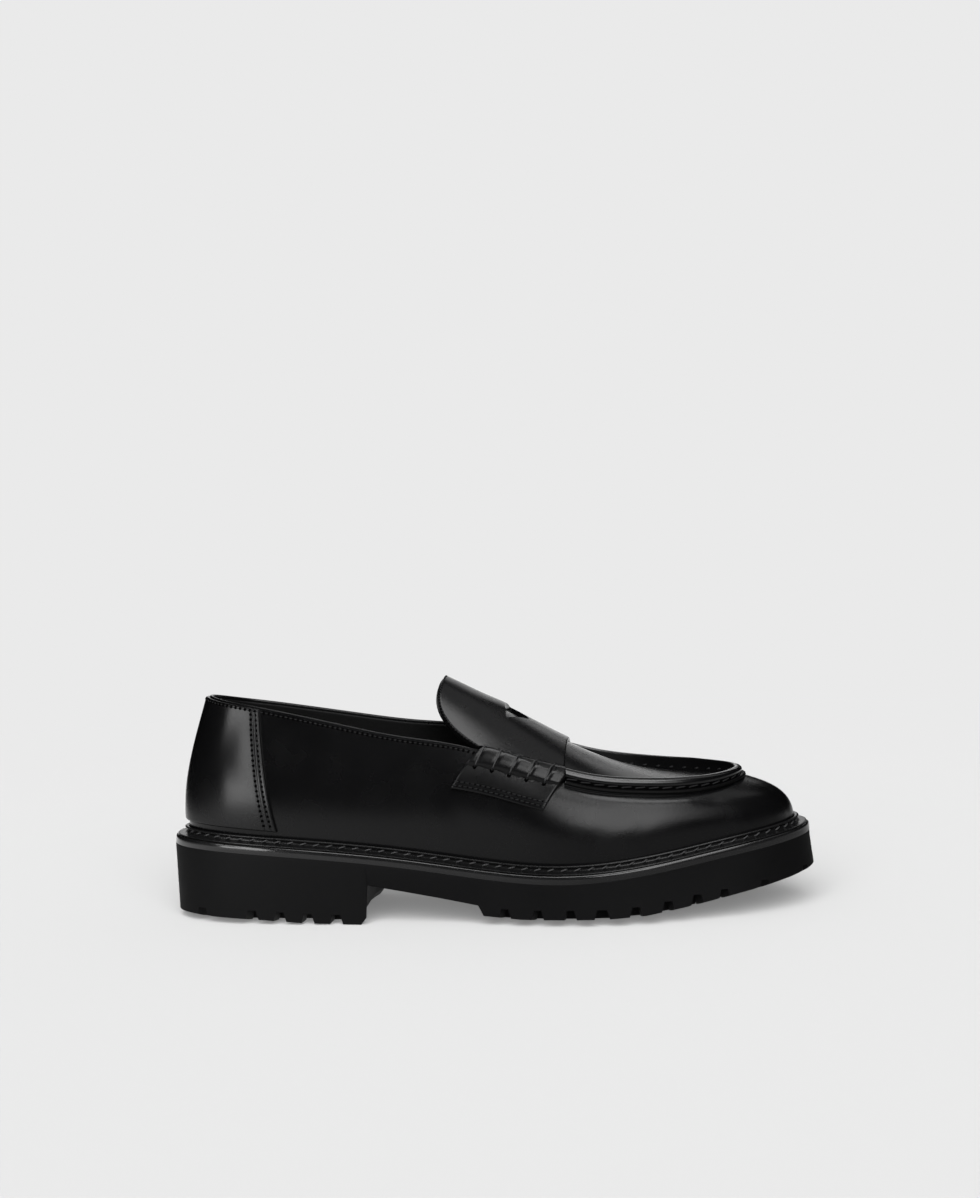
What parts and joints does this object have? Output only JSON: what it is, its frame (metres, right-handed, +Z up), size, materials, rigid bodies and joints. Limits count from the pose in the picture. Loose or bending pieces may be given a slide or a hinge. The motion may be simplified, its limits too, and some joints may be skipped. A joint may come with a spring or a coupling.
{
  "type": "loafer",
  "caption": "Black leather penny loafer with a raised apron seam, slotted saddle strap, stitched storm welt and a thick lugged rubber sole.",
  "frame": {"origin": "on the floor under the middle of the shoe's bounding box", "axes": "+X points to the toe, +Y to the inner side of the foot, +Z up"},
  "size_m": [0.3058, 0.1071, 0.112],
  "materials": {
    "sole_rubber": "matt moulded rubber",
    "edge_leather": "burnished black edge",
    "lining_leather": "matt lining leather",
    "upper_leather": "satin polished smooth leather"
  },
  "bodies": {
    "root": {"outsole": "sole_rubber", "midsole": "edge_leather", "welt": "edge_leather", "insole": "lining_leather", "upper": "upper_leather", "heel_counter": "upper_leather", "apron_ridge": "upper_leather", "saddle": "upper_leather"}
  },
  "joints": []
}
